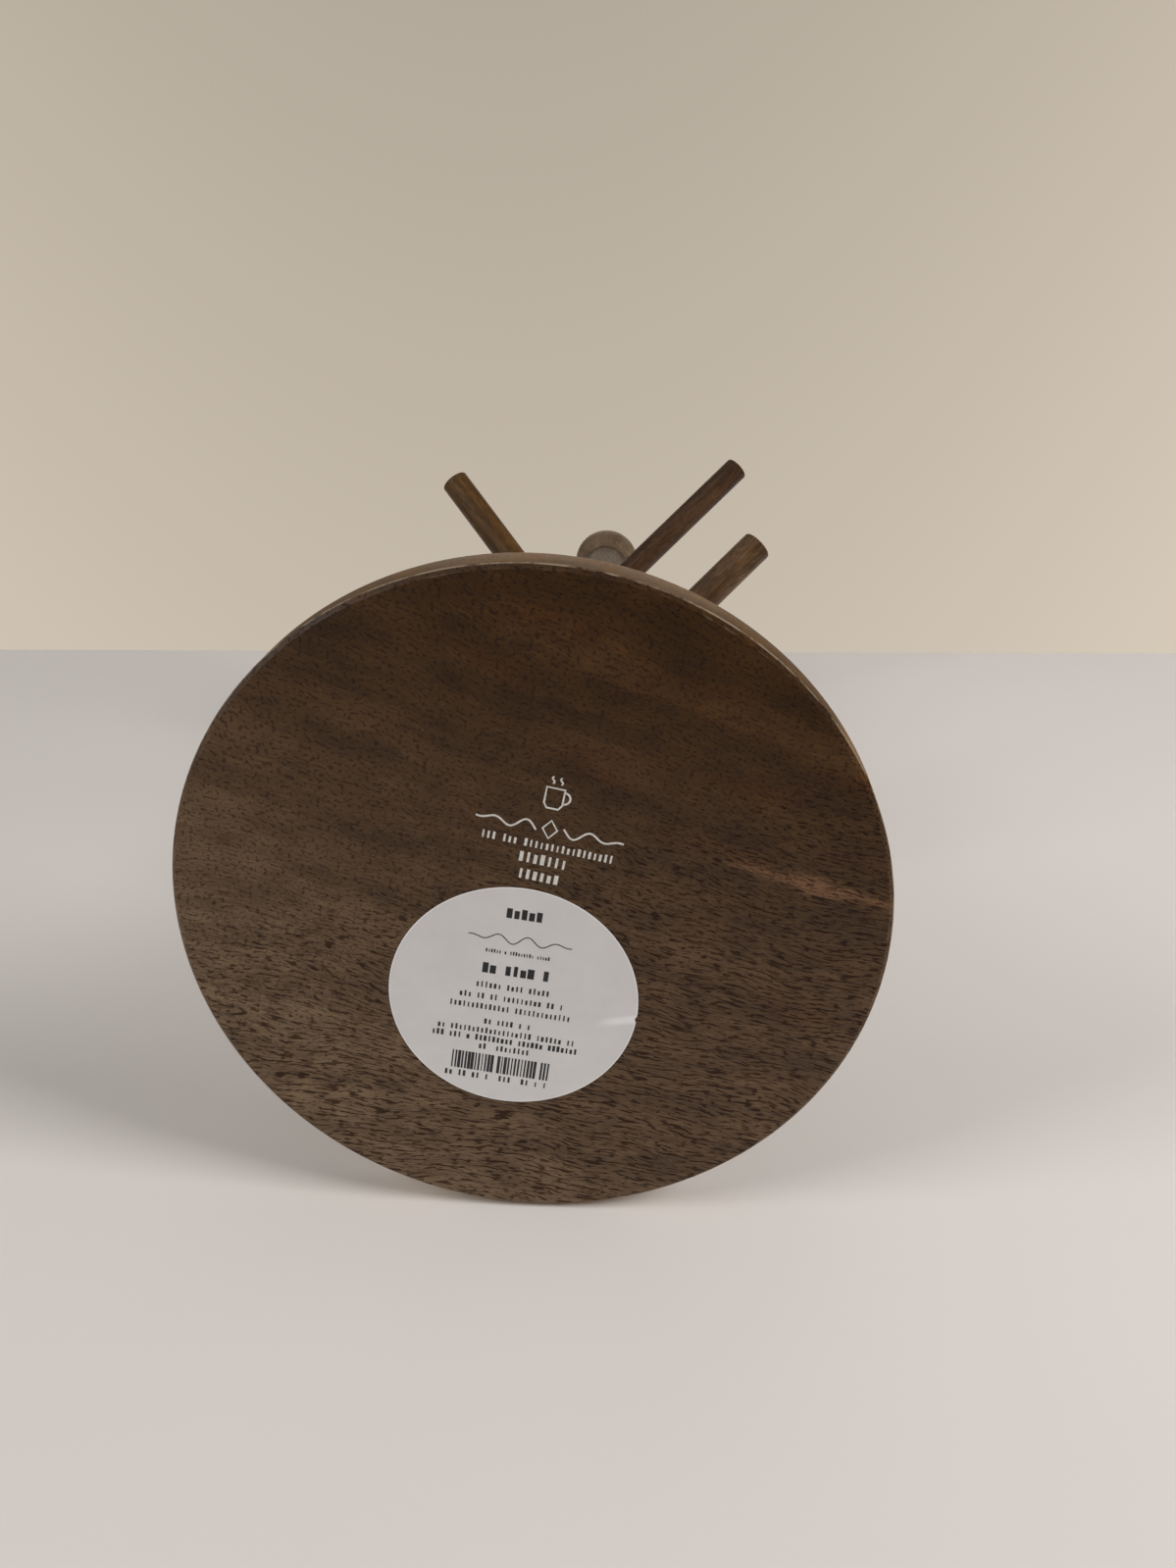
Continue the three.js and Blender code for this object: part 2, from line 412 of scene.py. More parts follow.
def grown(name, tree, **sizes):
    """Runs a geometry tree with these sizes and keeps the result as a plain mesh."""
    maker = bpy.data.objects.new(name, bpy.data.meshes.new(name))
    bpy.context.scene.collection.objects.link(maker)
    modifier = maker.modifiers.new("shape", "NODES")
    modifier.node_group = tree
    for item in tree.interface.items_tree:
        if item.in_out == "INPUT":
            modifier[item.identifier] = sizes[item.name.replace(" ", "_").lower()]
    evaluated = maker.evaluated_get(bpy.context.evaluated_depsgraph_get())
    mesh = bpy.data.meshes.new_from_object(evaluated)
    bpy.data.objects.remove(maker)
    return mesh


def dowel_tree():
    """A round stick from Z = 0 up: eased ends, optional flutes, and a surface that isn't quite true."""
    tree, size = new_tree("dowel", ("Length", "Radius", "Ease", "Flutes", "Flute Depth", "Wobble", "Seed"))
    sheet = size["Length"].node("GeometryNodeMeshGrid", {}, {
        "Size X": 1.0, "Size Y": 2.0, "Vertices X": 97, "Vertices Y": 121})
    x, y, z = parts_of(sheet.node("GeometryNodeInputPosition"))
    angle = (x + 0.5) * (2 * math.pi)
    from_end = 1.0 - abs(y)
    end, corner = 0.08, 0.25
    across = (from_end / end).math("MINIMUM", from_end / end, 1.0)
    bend = ((from_end - end) / (corner - end)) * 1.0
    bend = bend.math("MINIMUM", bend.math("MAXIMUM", bend, 0.0), 1.0) * (math.pi / 2)
    along = (from_end - corner) / (1.0 - corner)
    along = along.math("MAXIMUM", along, 0.0)
    radius = (size["Radius"] - size["Ease"]) * across + size["Ease"] * bend.math("SINE", bend)
    depth = size["Ease"] * (1.0 - bend.math("COSINE", bend)) + (size["Length"] * 0.5 - size["Ease"]) * along
    side = y.math("SIGN", y)
    height = size["Length"] * 0.5 + side * (size["Length"] * 0.5 - depth)
    groove = (angle * size["Flutes"]).math("COSINE", angle * size["Flutes"])
    groove = groove.math("POWER", groove * 0.5 + 0.5, 3.0)
    ring = vector_of(angle.math("COSINE", angle), angle.math("SINE", angle), height * 20.0)
    place = ring.node("ShaderNodeVectorMath", {"operation": "ADD"},
                      {"Vector": ring, "Vector_001": vector_of(size["Seed"], 0.0, 0.0)})
    uneven = cloud(place, 1.0) - 0.5
    radius = radius * (1.0 - groove * size["Flute Depth"] / size["Radius"] + uneven * size["Wobble"])
    point = vector_of(radius * angle.math("COSINE", angle), radius * angle.math("SINE", angle), height)
    rolled = sheet.node("GeometryNodeSetPosition", {}, {"Geometry": sheet, "Position": point})
    closed = rolled.node("GeometryNodeMergeByDistance", {}, {"Geometry": rolled, "Distance": 1e-6})
    end_tree(tree, closed, size)
    return tree


def outward(mesh):
    """Turns every face of a closed mesh outwards."""
    work = bmesh.new()
    work.from_mesh(mesh)
    bmesh.ops.recalc_face_normals(work, faces=work.faces)
    work.to_mesh(mesh)
    work.free()
    return mesh


def leaning_dowel(low, high):
    """The centre, direction, length and radius of an eased dowel, from the box that it fills."""
    size = high - low
    middle = (low + high) / 2
    sideways = Vector((middle.x, 0, 0)) if size.x > size.y else Vector((0, middle.y, 0))
    diameter = min(size.x, size.y)
    run = max(size.x, size.y) - 2 * peg_ease
    rise = size.z - 2 * peg_ease
    width = diameter - 2 * peg_ease
    lean = math.atan2(rise, run)
    for _ in range(12):
        lean = math.atan2(rise - width * math.cos(lean), run - width * math.sin(lean))
    length = (run - width * math.sin(lean)) / math.cos(lean) + 2 * peg_ease
    direction = sideways.normalized() * math.cos(lean) + Vector((0, 0, math.sin(lean)))
    return middle, direction, length, diameter / 2


def set_along(mesh, foot, direction):
    """Stands a dowel that was grown along Z at its foot, pointing in a direction."""
    turn = direction.to_track_quat("Z", "Y").to_matrix().to_4x4()
    mesh.transform(Matrix.Translation(foot) @ turn)
    return mesh


dowels = dowel_tree()
peg_ease = 0.8 * MM
peg_tones = {
    "peg_lower_right": ("44301c", "75593c"),
    "peg_lower_left": ("39251a", "5d4231"),
    "peg_middle_front": ("3c280e", "684922"),
    "peg_middle_back": ("3b2517", "614431"),
    "peg_upper_right": ("33200f", "563d27"),
    "peg_upper_left": ("3d271a", "68492f"),
}
pegs = {}
for number, (peg_name, (dark, light)) in enumerate(peg_tones.items()):
    middle, direction, length, radius = leaning_dowel(*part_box(peg_name))
    foot = middle - direction * length / 2
    pegs[peg_name] = (foot, direction, length, radius)
    wood = stained_wood(peg_name + "_wood", foot, direction, direction.cross(Vector((0, 0, 1))).normalized(),
                        dark, light, 40.0 + 7.0 * number, 0.35, 2.6)
    stick = grown(peg_name, dowels, length=length, radius=radius, ease=peg_ease, flutes=0.0,
                  flute_depth=0.0, wobble=0.02, seed=5.0 * number, material=wood)
    finished(peg_name, outward(set_along(stick, foot, direction)), wood, "peg_wood", peg_name)


# ---------------------------------------------------------------------------------------------------
# Post
# A straight dowel, its foot glued and screwed into a seat in the base. Blind sockets are bored for the
# pegs, and the ends are bored for the screw and for the knob's pin.
# ---------------------------------------------------------------------------------------------------
def cut_away(mesh, tools):
    """A mesh with the shape of each tool, a closed mesh, cut out of it, and slivers cleaned away."""
    body = bpy.data.objects.new("body", mesh)
    cutters = [bpy.data.objects.new("cutter", tool) for tool in tools]
    for thing in [body, *cutters]:
        bpy.context.scene.collection.objects.link(thing)
    for cutter in cutters:
        cut = body.modifiers.new("cut", "BOOLEAN")
        cut.object = cutter
        cut.operation = "DIFFERENCE"
        cut.solver = "EXACT"
    result = bpy.data.meshes.new_from_object(body.evaluated_get(bpy.context.evaluated_depsgraph_get()))
    for thing in [body, *cutters]:
        bpy.data.objects.remove(thing)
    work = bmesh.new()
    work.from_mesh(result)
    sliver = 0.002 * MM
    bmesh.ops.remove_doubles(work, verts=work.verts, dist=sliver)
    bmesh.ops.dissolve_degenerate(work, dist=sliver, edges=work.edges)
    bmesh.ops.triangulate(work, faces=work.faces, quad_method="BEAUTY", ngon_method="BEAUTY")
    work.to_mesh(result)
    work.free()
    return result


def drill(foot, direction, length, radius):
    """The tool for a plain round hole."""
    profile = [(0, 0), (radius, 0), (radius, length), (0, length)]
    return set_along(turned("drill", profile, 64), foot, direction)


up = Vector((0, 0, 1))
pin_low, pin_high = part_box("knob_dowel")
screw_low, screw_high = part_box("base_screw")
pilot_radius = 1.9 * MM
post_wood = stained_wood("post_wood", (0, 0, 0), up, Vector((0, 1, 0)), "44301c", "70543a", 17.0, 0.4, 4.0)
post_stick = outward(grown(
    "post", dowels, length=post_high.z - post_low.z, radius=post_radius, ease=0.8 * MM, flutes=0.0,
    flute_depth=0.0, wobble=0.012, seed=3.0, material=post_wood))
post_stick.transform(Matrix.Translation((0, 0, post_low.z)))
drills = [drill(foot - direction * fit_line, direction, length, radius + fit_line)
          for foot, direction, length, radius in pegs.values()]
screw_depth = screw_high.z - post_low.z
drills.append(drill(Vector((0, 0, post_low.z - MM)), up, screw_depth + 2 * MM, pilot_radius + MM))
drills.append(drill(Vector((0, 0, pin_low.z - fit_line)), up, pin_high.z - pin_low.z, pin_high.x + fit_line))
finished("post", cut_away(post_stick, drills), post_wood, "post_wood", "post")


# ---------------------------------------------------------------------------------------------------
# Knob and its pin
# A ball turned between centres from the same wood, with a small flat where it meets the post. A fluted
# beech pin, left bare, is glued half into each.
# ---------------------------------------------------------------------------------------------------
knob_low, knob_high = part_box("top_knob")
knob_radius = knob_high.x
knob_centre = knob_high.z - knob_radius
flat_angle = math.degrees(math.asin((knob_low.z - knob_centre) / knob_radius))
bore = pin_high.x + fit_line
knob_profile = [(0, pin_high.z + fit_line), (bore, pin_high.z + fit_line), (bore, knob_low.z)]
knob_profile += rounded(0, knob_centre, knob_radius, flat_angle, 88, 60)
knob_profile += [(0, knob_high.z)]
# Paler and greyer than the post: painted sheen on the same stained wood.
knob_wood = stained_wood(
    "knob_wood", (0, 0, knob_centre), up, Vector((0, 1, 0)), "5d4a36", "8a745a", 29.0, 0.3)
finished("top_knob", turned("top_knob", knob_profile, 128), knob_wood, "knob_wood", "top_knob")

pin_wood = stained_wood("pin_wood", (0, 0, 0), up, Vector((0, 1, 0)), "b08c5e", "d2b285", 61.0, 0.2)
pin = grown("knob_dowel", dowels, length=pin_high.z - pin_low.z, radius=pin_high.x, ease=0.8 * MM,
            flutes=12.0, flute_depth=0.35 * MM, wobble=0.01, seed=9.0, material=pin_wood)
pin.transform(Matrix.Translation((0, 0, pin_low.z)))
finished("knob_dowel", outward(pin), pin_wood, "dowel_wood", "knob_dowel")


# ---------------------------------------------------------------------------------------------------
# Screw
# A zinc-plated countersunk wood screw, driven up through the base into the post before the label goes
# on. Its thread is rolled, and its head has a cross recess.
# ---------------------------------------------------------------------------------------------------
def zinc():
    """Bright zinc plate, a little uneven."""
    material, shader, nodes = new_finish("zinc_plate")
    place = nodes.node("ShaderNodeTexCoord", {}, {}, "Object")
    patches = cloud(stretched(place, 2 * MM, 2 * MM, 2 * MM), 3.0)
    feed(shader, "Base Color", blend(patches, linear("a9adb1"), linear("d5d7d6")))
    feed(shader, "Roughness", 0.24 + patches * 0.2)
    shader.inputs["Metallic"].default_value = 1.0
    return material


def screw_mesh(low, high):
    """Head, plain shank, helical thread and point, as one closed body with its head down."""
    turns, rows = 48, 260
    head, shank, root = high.x, 2.4 * MM, 1.7 * MM
    length = high.z - low.z
    pitch, thread_start, point = 2.1 * MM, 16 * MM, 6 * MM
    mesh = bmesh.new()
    rings = []
    for row in range(rows + 1):
        up_stem = length * row / rows
        ring = []
        for i in range(turns):
            angle = 2 * math.pi * i / turns
            if up_stem < head - shank:
                radius = head - up_stem
            elif up_stem < thread_start:
                radius = shank
            else:
                phase = (up_stem / pitch - i / turns) % 1.0
                ridge = max(0.0, 1.0 - abs(phase - 0.5) / 0.22)
                taper = min(1.0, (length - up_stem) / point)
                radius = (root + (shank - root) * ridge) * taper + 0.05 * MM
            x, y = radius * math.cos(angle), radius * math.sin(angle)
            ring.append(mesh.verts.new((x, y, low.z + up_stem)))
        rings.append(ring)
    for lower, upper in zip(rings, rings[1:]):
        for i in range(turns):
            j = (i + 1) % turns
            mesh.faces.new((lower[i], lower[j], upper[j], upper[i]))
    mesh.faces.new(rings[0])
    mesh.faces.new(rings[-1])
    bmesh.ops.recalc_face_normals(mesh, faces=mesh.faces)
    data = bpy.data.meshes.new("base_screw")
    mesh.to_mesh(data)
    mesh.free()
    return data


def recess_arm(turn):
    """One of the two crossed wedges of the recess, which narrow as they run up into the head."""
    wedge = bmesh.new()
    for height, reach, half_width in ((-0.1 * MM, 2.5 * MM, 0.5 * MM), (1.6 * MM, 0.9 * MM, 0.3 * MM)):
        for x, y in ((-1, -1), (1, -1), (1, 1), (-1, 1)):
            wedge.verts.new((x * reach, y * half_width, screw_low.z + height))
    bmesh.ops.convex_hull(wedge, input=wedge.verts)
    bmesh.ops.recalc_face_normals(wedge, faces=wedge.faces)
    data = bpy.data.meshes.new("recess_arm")
    wedge.to_mesh(data)
    wedge.free()
    data.transform(Matrix.Rotation(turn, 4, "Z"))
    return data


screw = cut_away(screw_mesh(screw_low, screw_high), [recess_arm(0.0), recess_arm(math.pi / 2)])
finished("base_screw", screw, zinc(), "zinc_steel", "base_screw")


# ---------------------------------------------------------------------------------------------------
# Care label
# A round label of smooth coated paper, stuck a little off the middle so that it hides the screw. Its
# edge is nicked on one side, and a faint crease runs in from the nick.
# ---------------------------------------------------------------------------------------------------
label_low, label_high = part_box("care_label")
label_centre = Vector(((label_low.x + label_high.x) / 2, (label_low.y + label_high.y) / 2, 0))
label_radius = (label_high.x - label_low.x) / 2
paper = 0.12 * MM
stuck_on = 0.005 * MM
nick_bearing = printing_bearing + 1


def paper_finish():
    """White coated paper, a little grubby, paler at its cut edge, and with a painted highlight along the
    crease from the nick.
    """
    material, shader, nodes = new_finish("label_paper")
    place = nodes.node("ShaderNodeTexCoord", {}, {}, "Object")
    grubby = cloud(stretched(place, 14 * MM, 14 * MM, 14 * MM), 3.0, 0.6)
    fibres = cloud(stretched(place, 0.25 * MM, 0.25 * MM, 0.25 * MM), 2.0)
    x, y, z = parts_of(grain_space(nodes, label_centre, bearing(nick_bearing), bearing(nick_bearing + 90)))
    from_middle = (x * x + y * y).math("SQRT", x * x + y * y)
    cut_edge = ease(from_middle, label_radius / MM - 0.4, label_radius / MM - 0.2)
    # A painted highlight along the crease that runs in from the nick.
    crease_highlight = ease(x, 21.0, 27.0) * (1.0 - ease(abs(y - (label_radius / MM - x) * 0.3), 0.3, 1.8))
    colour = blend(grubby, linear("d8d5d2"), linear("e9e7e4"))
    # The real pale cut edge and the painted crease highlight, together.
    pale = cut_edge.math("MAXIMUM", cut_edge * 0.7, crease_highlight * 0.8)
    feed(shader, "Base Color", blend(pale, colour, linear("fdfcfa")))
    feed(shader, "Roughness", 0.42 + fibres * 0.12)
    bump = fibres.node("ShaderNodeBump", {}, {"Strength": 0.15, "Distance": 0.02 * MM, "Height": fibres})
    feed(shader, "Normal", bump)
    return material


def paper_disc(turns=192, rings=28):
    """The label as a thin closed disc on the underside, with its nick and crease."""
    nick = math.radians(nick_bearing)
    mesh = bmesh.new()

    def sheet(height):
        levels = [[mesh.verts.new(label_centre + Vector((0, 0, height)))] * turns]
        for ring in range(1, rings + 1):
            level = []
            for i in range(turns):
                angle = 2 * math.pi * i / turns
                away = math.atan2(math.sin(angle - nick), math.cos(angle - nick))
                share = ring / rings
                radius = label_radius * share
                if ring == rings:
                    radius -= 0.5 * MM * max(0.0, 1 - abs(away) / 0.03)
                crease = math.exp(-(away * radius / (0.9 * MM)) ** 2) * max(0.0, share - 0.62) * 0.25 * MM
                curl = max(0.0, share - 0.93) * 0.6 * MM * max(0.0, math.cos(away)) ** 6
                level.append(mesh.verts.new(label_centre + Vector((
                    radius * math.cos(angle), radius * math.sin(angle), height - crease - curl))))
            levels.append(level)
        for inner, outer in zip(levels, levels[1:]):
            for i in range(turns):
                j = (i + 1) % turns
                mesh.faces.new(list(dict.fromkeys((inner[i], outer[i], outer[j], inner[j]))))
        return levels[-1]

    outer_rim = sheet(-paper)
    inner_rim = sheet(-stuck_on)
    for i in range(turns):
        j = (i + 1) % turns
        mesh.faces.new((outer_rim[i], outer_rim[j], inner_rim[j], inner_rim[i]))
    bmesh.ops.recalc_face_normals(mesh, faces=mesh.faces)
    data = bpy.data.meshes.new("care_label")
    mesh.to_mesh(data)
    mesh.free()
    return data


finished("care_label", paper_disc(), paper_finish(), "label_paper", "care_label")


# ---------------------------------------------------------------------------------------------------
# Printing
# Rows of plain marks in black on the label, round a block of bars, and in white screen ink on the bare
# wood above it, under a small cup sign. None of it is lettering.
# ---------------------------------------------------------------------------------------------------
def row_tree():
    """A row of upright marks on a common foot line, centred on X = 0, some of them left out."""
    tree, size = new_tree("printed row", (
        "Count", "Pitch", "Narrow", "Wide", "Low", "High", "Kept", "Film", "Seed"))
    start = (size["Count"] - 1.0) * size["Pitch"] * -0.5
    line = start.node("GeometryNodeMeshLine", {"mode": "OFFSET"}, {
        "Count": size["Count"], "Start Location": vector_of(start, 0.0, 0.0),
        "Offset": vector_of(size["Pitch"], 0.0, 0.0)})
    mark = line.node("GeometryNodeMeshCube", {}, {"Size": (1.0, 1.0, 1.0)})
    mark = mark.node("GeometryNodeTransform", {}, {"Geometry": mark, "Translation": (0.0, 0.5, 0.0)})
    width = line.node("FunctionNodeRandomValue", {"data_type": "FLOAT"},
                      {"Min": size["Narrow"], "Max": size["Wide"], "Seed": size["Seed"]}, 1)
    height = line.node("FunctionNodeRandomValue", {"data_type": "FLOAT"},
                       {"Min": size["Low"], "Max": size["High"], "Seed": size["Seed"] + 1.0}, 1)
    kept = line.node("FunctionNodeRandomValue", {"data_type": "BOOLEAN"},
                     {"Probability": size["Kept"], "Seed": size["Seed"] + 2.0}, 3)
    marks = line.node("GeometryNodeInstanceOnPoints", {}, {
        "Points": line, "Selection": kept, "Instance": mark,
        "Scale": vector_of(width, height, size["Film"])})
    end_tree(tree, marks, size)
    return tree


def ink(name, first, second):
    """A matt ink film, a little thinner in places."""
    material, shader, nodes = new_finish(name)
    place = nodes.node("ShaderNodeTexCoord", {}, {}, "Object")
    thin = cloud(stretched(place, 0.9 * MM, 0.9 * MM, 0.9 * MM), 3.0, 0.7)
    feed(shader, "Base Color", blend(ease(thin, 0.35, 0.7), linear(first), linear(second)))
    feed(shader, "Roughness", 0.55 + thin * 0.15)
    return material


def print_place(origin, heading, face):
    """Lays printing on the underside: X goes along the rows and Y up them, and face is how proud it lies."""
    along, up_page = bearing(heading), -bearing(heading + 90)
    turn = Matrix((along, up_page, along.cross(up_page))).transposed().to_4x4()
    return Matrix.Translation(origin - Vector((0, 0, face))) @ turn


def printed_rows(rows, place, material):
    """Rows of marks as one mesh: below the centre, along, length, letter height, weight, and share kept."""
    sheet = bmesh.new()
    for number, (below, shift, length, letter, weight, kept) in enumerate(rows):
        pitch = letter * 0.62
        row = grown("row", row_marks, count=round(length / pitch), pitch=pitch * MM,
                    narrow=pitch * weight * 0.5 * MM, wide=pitch * weight * MM, low=letter * 0.72 * MM,
                    high=letter * MM, kept=kept, film=film * MM, seed=11.0 * number + letter,
                    material=material)
        row.transform(place @ Matrix.Translation((shift * MM, -(below + letter / 2) * MM, 0)))
        sheet.from_mesh(row)
    return sheet


def stroke(sheet, points, width, place, closed=False):
    """Adds a flat pen stroke through points given in millimetres, across and up the page."""
    line = [Vector(p) for p in points]
    count = len(line)
    sides = []
    for i, point in enumerate(line):
        before = line[i - 1] if i or closed else point
        after = line[(i + 1) % count] if i + 1 < count or closed else point
        way = (after - before).normalized()
        normal = Vector((-way.y, way.x)) * width / 2
        corners = []
        for side, lift in ((-1, -film / 2), (-1, film / 2), (1, film / 2), (1, -film / 2)):
            corner = Vector((point.x + normal.x * side, point.y + normal.y * side, lift))
            corners.append(sheet.verts.new(place @ (corner * MM)))
        sides.append(corners)
    for i in range(count if closed else count - 1):
        first, second = sides[i], sides[(i + 1) % count]
        for j in range(4):
            sheet.faces.new((first[j], first[(j + 1) % 4], second[(j + 1) % 4], second[j]))
    if not closed:
        sheet.faces.new(sides[0])
        sheet.faces.new(sides[-1])


def printed(name, sheet, material):
    """Keeps a printed sheet as a piece of the tree."""
    bmesh.ops.recalc_face_normals(sheet, faces=sheet.faces)
    mesh = bpy.data.meshes.new(name)
    sheet.to_mesh(mesh)
    sheet.free()
    mesh.name = name
    mesh.materials.clear()
    mesh.materials.append(material)
    piece = bpy.data.objects.new(name, mesh)
    bpy.context.scene.collection.objects.link(piece)
    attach(piece, "root")
    return piece


row_marks = row_tree()
film = 0.012
black_ink = ink("black_ink", "1c1b1c", "343335")
label_page = print_place(label_centre, printing_bearing, paper + 0.4 * film * MM)
label_print = printed_rows([
    (-24.5, 0.1, 10.0, 3.0, 0.8, 0.95), (-13.1, -0.3, 16.5, 1.1, 0.7, 0.85),
    (-8.0, -0.2, 17.5, 3.1, 0.9, 0.92), (-3.0, -0.4, 19.5, 1.8, 0.6, 0.87),
    (0.4, -0.4, 26.5, 1.8, 0.6, 0.87), (3.5, -0.4, 33.0, 1.8, 0.6, 0.87),
    (7.8, -0.6, 12.0, 1.8, 0.6, 0.87), (10.7, -0.6, 35.5, 1.8, 0.6, 0.87),
    (13.1, -0.7, 38.5, 1.8, 0.7, 0.87),
    (15.6, -0.6, 15.6, 1.8, 0.6, 0.9), (24.9, -1.2, 28.0, 1.9, 0.6, 0.8)], label_page, black_ink)
bars = grown("bars", row_marks, count=30, pitch=0.86 * MM, narrow=0.25 * MM, wide=0.8 * MM, low=5.4 * MM,
             high=5.4 * MM, kept=0.95, film=film * MM, seed=8.0, material=black_ink)
bars.transform(label_page @ Matrix.Translation((-1.0 * MM, -23.4 * MM, 0)))
label_print.from_mesh(bars)
stroke(label_print, [(x / 2 - 0.1, 17 + 1.3 * math.sin(x * 0.42) * math.cos(math.pi * x / 54))
                     for x in range(-26, 27)], 0.3, label_page)
printed("label_printing", label_print, black_ink)

white_ink = ink("white_ink", "d9d5cc", "f1eee8")
wood_page = print_place(Vector((0, 0, 0)), printing_bearing + 3.5, 0.5 * film * MM)
wood_print = printed_rows([
    (-21.1, 1.0, 33.0, 2.1, 0.55, 0.84), (-17.2, 0.6, 12.2, 2.8, 0.62, 0.97),
    (-12.7, 0.4, 10.0, 2.8, 0.62, 0.97)],
    wood_page, white_ink)
stroke(wood_print, [(-1.9, 36.4), (-1.9, 32.3), (-1.1, 31.1), (1.7, 31.1), (2.5, 32.3), (2.5, 36.4)], 0.5,
       wood_page, True)
stroke(wood_print, rounded(2.6, 34.2, 1.5, -90, 90, 12), 0.5, wood_page)
for steam in (-0.7, 1.3):
    curl = [(steam + 0.35 * math.sin(i * 0.7), 37.5 + i * 0.2) for i in range(10)]
    stroke(wood_print, curl, 0.4, wood_page)
wave = [(0.8 + i * 0.25, 25.6 + 1.6 * math.sin(i * 0.2) * math.cos(math.pi * i / 150))
        for i in range(-72, 73)]
stroke(wood_print, wave[:60], 0.5, wood_page)
stroke(wood_print, wave[85:], 0.5, wood_page)
stroke(wood_print, [(0.8, 28.0), (2.6, 25.6), (0.8, 23.2), (-1.0, 25.6)], 0.5, wood_page, True)
printed("wood_printing", wood_print, white_ink)


# ---------------------------------------------------------------------------------------------------
# Studio
# The tree lies on its side on a pale table, on the base's rim and two peg tips, before a plain backdrop.
# A pale floor serves the views in which it stands. Each sheet shows only from its front.
# ---------------------------------------------------------------------------------------------------
def one_sided(name, colour, grit, fades_at, glow=0.0):
    """Matt paint that lets the view through from behind, and fades out far from the tree."""
    material, shader, nodes = new_finish(name)
    place = nodes.node("ShaderNodeTexCoord", {}, {}, "Object")
    cloudy = cloud(stretched(place, 0.15, 0.15, 0.15), 2.0)
    feed(shader, "Base Color", shade(linear(colour)[:3], 0.97 + cloudy * 0.06))
    shader.inputs["Roughness"].default_value = 0.7
    shader.inputs["Emission Color"].default_value = linear(colour)
    shader.inputs["Emission Strength"].default_value = glow
    rough = cloud(stretched(place, 5 * MM, 5 * MM, 5 * MM), 3.0, 0.6)
    feed(shader, "Normal", rough.node("ShaderNodeBump", {}, {
        "Strength": grit, "Distance": 0.4 * MM, "Height": rough}))
    clear = nodes.node("ShaderNodeBsdfTransparent")
    back = nodes.node("ShaderNodeNewGeometry", {}, {}, "Backfacing")
    reach = place.node("ShaderNodeVectorMath", {"operation": "LENGTH"}, {"Vector": place}, "Value")
    back = back.math("MAXIMUM", back, ease(reach, 0.45 * fades_at, fades_at))
    both = nodes.node("ShaderNodeMixShader", {}, {
        "Fac": back, "Shader": Value(material.node_tree, shader.outputs[0]), "Shader_001": clear})
    out = next(n for n in material.node_tree.nodes if n.type == "OUTPUT_MATERIAL")
    material.node_tree.links.new(both.socket, out.inputs["Surface"])
    return material


def stage_sheet(name, corners, facing, material):
    """One flat face of the stage, with its front on the given side."""
    data = bpy.data.meshes.new(name)
    data.from_pydata(corners, [], [tuple(range(len(corners)))])
    if data.polygons[0].normal.dot(facing) < 0:
        data.flip_normals()
    data.materials.append(material)
    sheet = bpy.data.objects.new(name, data)
    bpy.context.scene.collection.objects.link(sheet)
    return sheet


def lying_side(towards):
    """A point and the outward direction of the flat side that the tree lies on."""
    hull = bmesh.new()
    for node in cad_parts.values():
        for vertex in node.data.vertices:
            hull.verts.new(vertex.co)
    bmesh.ops.convex_hull(hull, input=hull.verts)
    hull.normal_update()
    side = max((f for f in hull.faces if f.normal.dot(towards) > 0.97), key=lambda f: f.calc_area())
    result = side.calc_center_median().copy(), side.normal.copy()
    hull.free()
    return result


def soft_light(name, place, at, size, power, colour):
    """A large soft panel that faces a point."""
    data = bpy.data.lights.new(name, "AREA")
    data.size = size
    data.energy = power
    data.color = linear(colour)[:3]
    light = bpy.data.objects.new(name, data)
    light.location = place
    light.rotation_mode = "QUATERNION"
    light.rotation_quaternion = (at - place).to_track_quat("-Z", "Y")
    light.visible_camera = False
    bpy.context.scene.collection.objects.link(light)
    return light


turn, tilt, roll = math.radians(50.32), math.radians(-66.59), math.radians(-9.317)
aim = Vector((35.79, -17.62, 0)) * MM
camera_distance = 295.87 * MM
back = Vector((math.sin(turn) * math.cos(tilt), -math.cos(turn) * math.cos(tilt), math.sin(tilt)))
level = Vector((math.cos(turn), math.sin(turn), 0))
right = level * math.cos(roll) - back.cross(level) * math.sin(roll)
camera = bpy.data.objects.new("camera", bpy.data.cameras.new("camera"))
bpy.context.scene.collection.objects.link(camera)
camera.location = aim + back * camera_distance
camera.rotation_mode = "QUATERNION"
camera.rotation_quaternion = Matrix((right, back.cross(right), back)).transposed().to_quaternion()
camera.data.sensor_width = 36
camera.data.lens = 29.03
camera.data.clip_start = 0.01
bpy.context.scene.camera = camera

underneath = bearing(131.7)
touch, down = lying_side(underneath)
table_up = -down
table_right = (right - down * right.dot(down)).normalized()
table_away = table_up.cross(table_right)
rim = touch - table_away * touch.dot(table_away)
half = 0.5
near = 0.36
far_left, far_right = 0.415, 0.371
table = stage_sheet("table", [
    rim - table_right * half - table_away * near, rim + table_right * half - table_away * near,
    rim + table_right * half + table_away * far_right, rim - table_right * half + table_away * far_left],
    table_up, one_sided("table_paint", "e1dcd5", 0.05, 9.0))
floor_gap = 0.4 * MM
floor = stage_sheet("floor", [
    Vector((x, y, -floor_gap)) for x, y in ((-3, -3), (3, -3), (3, 3), (-3, 3))],
    up, one_sided("floor_paint", "dedad3", 0.05, 2.4, 0.3))
table.visible_shadow = False
floor.visible_diffuse = False
floor.visible_glossy = False
floor.visible_shadow = False

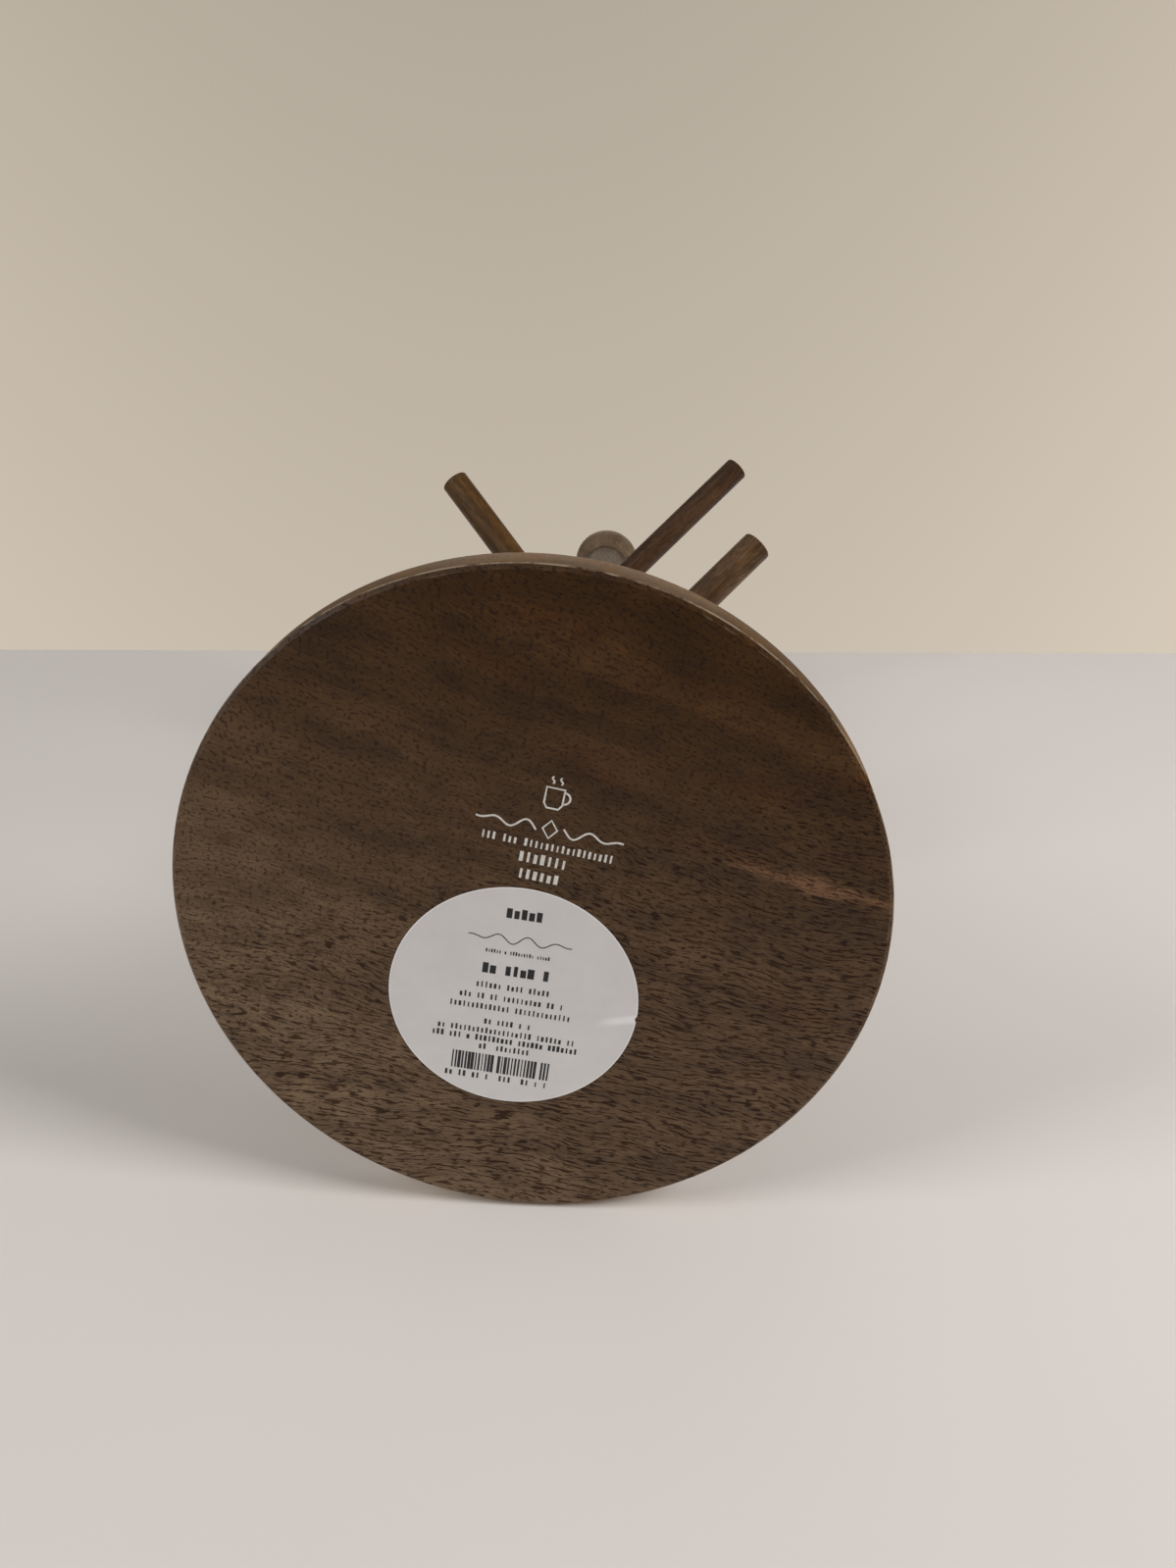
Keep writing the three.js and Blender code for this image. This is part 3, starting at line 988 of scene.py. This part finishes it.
middle = (cad_box[0] + cad_box[1]) / 2
white, warm = "fffdff", "fff0dc"
beside = table_right * 1.1
over = table_up * 0.9 - table_away * 0.4
key = soft_light("key", rim + beside + over, rim, 0.5, 14.6, white)
key.visible_glossy = False
soft_light("fill", rim - beside + over, rim, 0.6, 8.0, white)
soft_light("ceiling", rim + table_up * 1.5 + table_away * 0.1, rim, 1.2, 2.6, white)
soft_light("wash", rim + table_right * 0.9 + table_up * 0.5 + table_away * 0.1,
           rim + table_right * 0.35 + table_away * 0.4, 0.4, 0.7, white)
soft_light("top", middle + up * 1.6 + table_up * 0.1, middle, 1.0, 7.0, warm)
for side in (-0.8, 0.8):
    behind = middle - table_up * 0.9 + up * 1.3 + table_right * side
    soft_light("behind", behind, middle, 0.9, 4.0, white)

world = bpy.data.worlds.new("studio")
world.use_nodes = True
world.node_tree.nodes.clear()
sky = Value(world.node_tree)
direction = sky.node("ShaderNodeTexCoord", {}, {}, "Generated")
lift, aside = [direction.node("ShaderNodeVectorMath", {"operation": "DOT_PRODUCT"},
                              {"Vector": direction, "Vector_001": tuple(way)}, "Value")
               for way in (table_up, table_right)]
either_up = lift.math("MAXIMUM", lift, parts_of(direction)[2])
glow = blend(ease(either_up, -0.2, 0.45), linear("3a322b"), linear("f6f2ec"))
light = 0.1 + ease(parts_of(direction)[2], 0.1, 0.8) * 0.15
# The backdrop's cream is brighter to the sides and to the right, and darker higher up: painted light falling
# across a wall.
height = lift.math("MINIMUM", lift.math("MAXIMUM", lift, -0.4), 0.15)
wall_with_painted_light = 0.47 + aside.math("MINIMUM", aside * aside, 0.25) * 0.5 - height * 0.25 + aside * 0.06
seen = sky.node("ShaderNodeLightPath", {}, {}, "Is Camera Ray")
shine = sky.node("ShaderNodeBackground", {}, {
    "Color": blend(seen, glow, shade((1.0, 0.88, 0.72), wall_with_painted_light)), "Strength": seen + (1.0 - seen) * light})
world_out = world.node_tree.nodes.new("ShaderNodeOutputWorld")
world.node_tree.links.new(shine.socket, world_out.inputs["Surface"])
bpy.context.scene.world = world
bpy.context.scene.view_settings.view_transform = "Standard"
